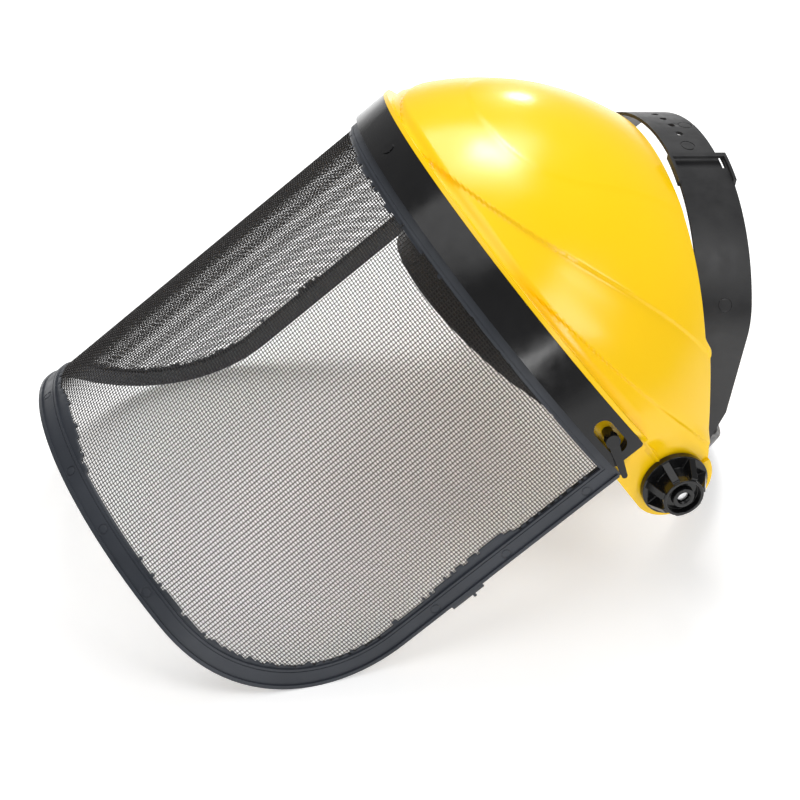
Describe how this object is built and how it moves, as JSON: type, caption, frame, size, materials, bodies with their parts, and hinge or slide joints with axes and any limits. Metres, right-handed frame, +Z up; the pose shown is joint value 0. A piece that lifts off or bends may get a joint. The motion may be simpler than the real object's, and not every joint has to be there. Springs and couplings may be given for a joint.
{
  "type": "face shield",
  "caption": "Brow guard with a hinged wire mesh visor on an adjustable head harness, tipped back on a table.",
  "frame": {"origin": "middle of the outline on the table top, with the shield lying tipped back on its visor corners and headband", "axes": "+X to the wearer's left, -Y to the front where the visor looks, +Z up from the table"},
  "size_m": [0.2644, 0.3248, 0.1971],
  "materials": {
    "yellow_shell": "glossy moulded yellow",
    "gloss_black": "glossy black",
    "frame_plastic": "satin blue-black",
    "mesh_wire": "dark coated woven wire",
    "harness_plastic": "satin black",
    "sweatband_foam": "black covered foam",
    "stud_plastic": "grey plastic",
    "steel": "bright zinc plated"
  },
  "bodies": {
    "harness": {"headband": "harness_plastic", "sweatband": "sweatband_foam", "crown_strap_left": "harness_plastic", "crown_strap_right": "harness_plastic", "strap_stud_left": "stud_plastic", "strap_stud_right": "stud_plastic", "pivot_bolt_left": "steel", "pivot_bolt_right": "steel"},
    "guard": {"crown_shell": "yellow_shell", "brow_band": "gloss_black", "visor_frame": "frame_plastic", "visor_mesh": "mesh_wire", "front_stud": "gloss_black"},
    "lock_left": {"turnlock_left": "gloss_black"},
    "lock_right": {"turnlock_right": "gloss_black"},
    "hand_knob_left": {"knob_left": "gloss_black", "knob_insert_left": "steel"},
    "hand_knob_right": {"knob_right": "gloss_black", "knob_insert_right": "steel"}
  },
  "joints": [
    {"name": "visor_lift", "type": "hinge", "parent": "harness", "child": "guard", "pos_m": [0, 0.0963, 0.06375], "axis": [-1, 0, 0], "range_deg": [-20, 75], "deforming": ["crown_strap_left", "crown_strap_right"]},
    {"name": "knob_turn_left", "type": "hinge", "parent": "harness", "child": "hand_knob_left", "pos_m": [0, 0.0963, 0.06375], "axis": [1, 0, 0], "continuous": true},
    {"name": "knob_turn_right", "type": "hinge", "parent": "harness", "child": "hand_knob_right", "pos_m": [0, 0.0963, 0.06375], "axis": [-1, 0, 0], "continuous": true},
    {"name": "lock_turn_left", "type": "hinge", "parent": "guard", "child": "lock_left", "pos_m": [0.12223, 0.065, 0.10055], "axis": [0.9857, -0.0917, 0.1414], "range_deg": [0, 90]},
    {"name": "lock_turn_right", "type": "hinge", "parent": "guard", "child": "lock_right", "pos_m": [-0.12223, 0.065, 0.10055], "axis": [0.9857, 0.0917, -0.1414], "range_deg": [0, 90]}
  ]
}
